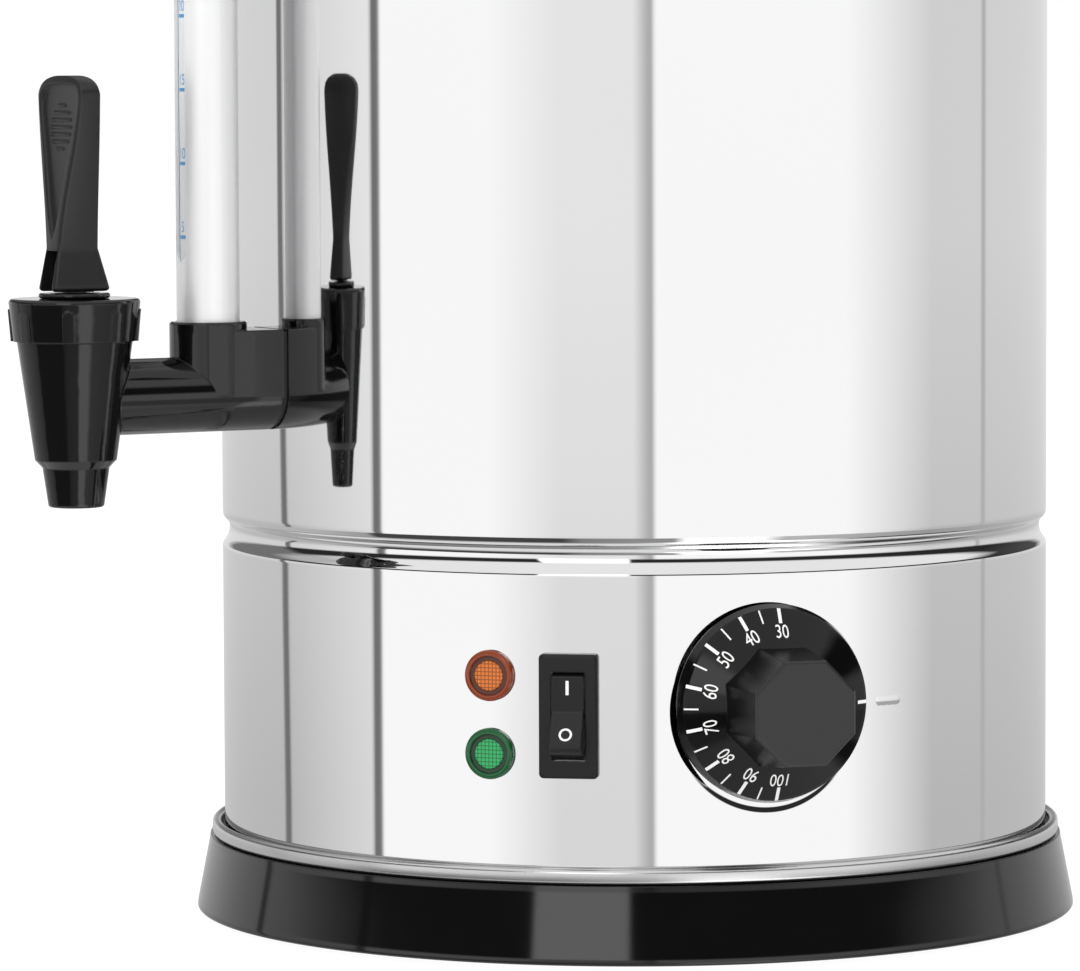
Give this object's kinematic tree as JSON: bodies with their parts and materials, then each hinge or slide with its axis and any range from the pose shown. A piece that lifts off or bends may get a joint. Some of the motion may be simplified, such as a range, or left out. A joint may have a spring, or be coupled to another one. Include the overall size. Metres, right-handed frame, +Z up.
{
  "type": "hot water urn",
  "caption": "Round steel hot water urn on a black foot, with a lever tap, tube level gauge, rocker switch, pilot lamps, thermostat knob, handles and lid.",
  "frame": {"origin": "on the vessel's axis, at the resting plane under the rubber ring", "axes": "+Z up along the vessel's axis, the tap points along -Y, the carrying handles lie along +X and -X"},
  "size_m": [0.302, 0.3005, 0.4291],
  "materials": {
    "polished_steel": "polished stainless steel",
    "satin_steel": "satin stainless steel",
    "zinc_steel": "zinc-plated",
    "black_gloss": "gloss black",
    "black_matte": "matte black",
    "grey_matte": "matte dark grey",
    "white_plastic": "natural white",
    "ivory_ceramic": "steatite",
    "red_plastic": "gloss red",
    "amber_lens": "translucent amber",
    "green_lens": "translucent green",
    "rubber": "matte",
    "silicone": "translucent silicone",
    "aluminium": "cast",
    "satin_aluminium": "satin anodised",
    "copper": "copper",
    "brass": "machined",
    "glass": "clear, with a printed blue scale"
  },
  "bodies": {
    "urn": {"foot_skirt": "black_gloss", "bottom_plate": "zinc_steel", "rubber_ring": "rubber", "foot_screws": "zinc_steel", "edge_tray": "satin_steel", "body_shell": "polished_steel", "vessel_floor": "polished_steel", "heat_spreader": "aluminium", "heating_element": "satin_steel", "safety_cutout": "ivory_ceramic", "cutout_bracket": "zinc_steel", "bracket_screws": "zinc_steel", "thermostat_body": "black_matte", "thermostat_screws": "zinc_steel", "capillary_bulb": "copper", "switch_housing": "black_gloss", "switch_terminals": "brass", "amber_lens": "amber_lens", "green_lens": "green_lens", "lamp_bodies": "black_matte", "lamp_nuts": "white_plastic", "terminal_block": "ivory_ceramic", "inlet_gland": "black_matte", "gland_nut": "black_matte", "tap_arm": "black_gloss", "arm_gasket": "rubber", "shank_washer": "silicone", "shank_nut": "zinc_steel", "tap_body": "black_gloss", "tap_cap": "black_gloss", "cap_seal": "silicone", "stem_guide": "black_gloss", "valve_spring": "satin_steel", "guard_tube": "satin_aluminium", "sight_tube": "glass", "gauge_low_seal": "silicone", "gauge_top_seal": "silicone", "gauge_holder": "black_gloss", "holder_screw": "zinc_steel", "left_handle": "black_gloss", "right_handle": "black_gloss", "handle_screws": "zinc_steel", "handle_washers": "silicone"},
    "valve": {"valve_stem": "grey_matte", "seat_cup": "silicone"},
    "lever": {"tap_lever": "grey_matte"},
    "knob": {"thermostat_knob": "black_gloss", "thermostat_spindle": "zinc_steel"},
    "rocker": {"switch_rocker": "black_gloss"},
    "cutout_reset": {"reset_button": "red_plastic"},
    "lid": {"lid_cover": "polished_steel", "lid_knob": "black_gloss", "lid_screw": "zinc_steel", "lid_washer": "zinc_steel"}
  },
  "joints": [
    {"name": "valve_lift", "type": "slide", "parent": "urn", "child": "valve", "axis": [0, 0, 1], "range_m": [0, 0.0035], "stiffness_N_per_m": 300, "springref_m": -0.002, "deforming": ["valve_spring"]},
    {"name": "tap_lever", "type": "hinge", "parent": "valve", "child": "lever", "pos_m": [0, -0.1648, 0.1753], "axis": [1, 0, 0], "range_deg": [0, 35]},
    {"name": "thermostat_turn", "type": "hinge", "parent": "urn", "child": "knob", "pos_m": [0.10718, -0.02474, 0.0664], "axis": [0.9744, -0.225, 0], "range_deg": [-270, 0]},
    {"name": "rocker_swing", "type": "hinge", "parent": "urn", "child": "rocker", "pos_m": [0.08435, -0.06904, 0.0636], "axis": [0.6334, 0.7738, 0], "range_deg": [0, 30]},
    {"name": "reset_press", "type": "slide", "parent": "urn", "child": "cutout_reset", "axis": [0, 0, 1], "range_m": [0, 0.0015], "stiffness_N_per_m": 800, "springref_m": -0.001},
    {"name": "lid_lift", "type": "slide", "parent": "urn", "child": "lid", "axis": [0, 0, 1], "range_m": [0, 0.12]}
  ],
  "couplings": [
    {"joint": "tap_lever", "follows": "valve_lift", "rad_per_m": 174.53}
  ]
}
